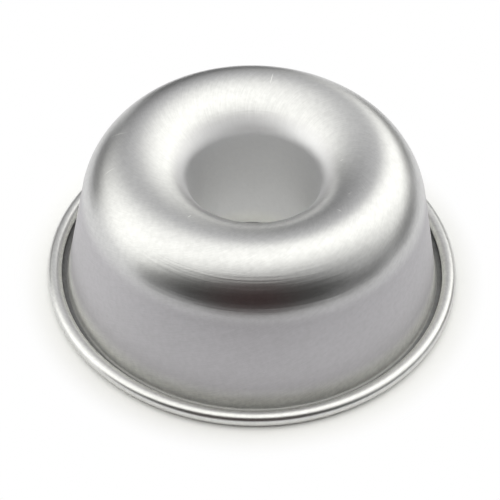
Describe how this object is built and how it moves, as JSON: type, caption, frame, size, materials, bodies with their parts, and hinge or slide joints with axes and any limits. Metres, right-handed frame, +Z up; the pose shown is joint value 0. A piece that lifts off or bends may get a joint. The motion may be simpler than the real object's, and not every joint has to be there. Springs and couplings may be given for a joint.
{
  "type": "ring cake pan",
  "caption": "Round drawn aluminium cake pan with a tapered wall, rounded crown, open central tube and a wired rolled rim, stood mouth down.",
  "frame": {"origin": "on the pan's axis, in the plane that the rolled rim stands on", "axes": "+Z up along the axis of the tube, from the mouth to the crown; the pan is round, so X and Y are free"},
  "size_m": [0.11, 0.11, 0.042],
  "materials": {
    "satin_aluminium": "satin, brushed along the turn",
    "wire_aluminium": "drawn wire"
  },
  "bodies": {
    "root": {"pan_shell": "satin_aluminium", "rim_wire": "wire_aluminium"}
  },
  "joints": []
}
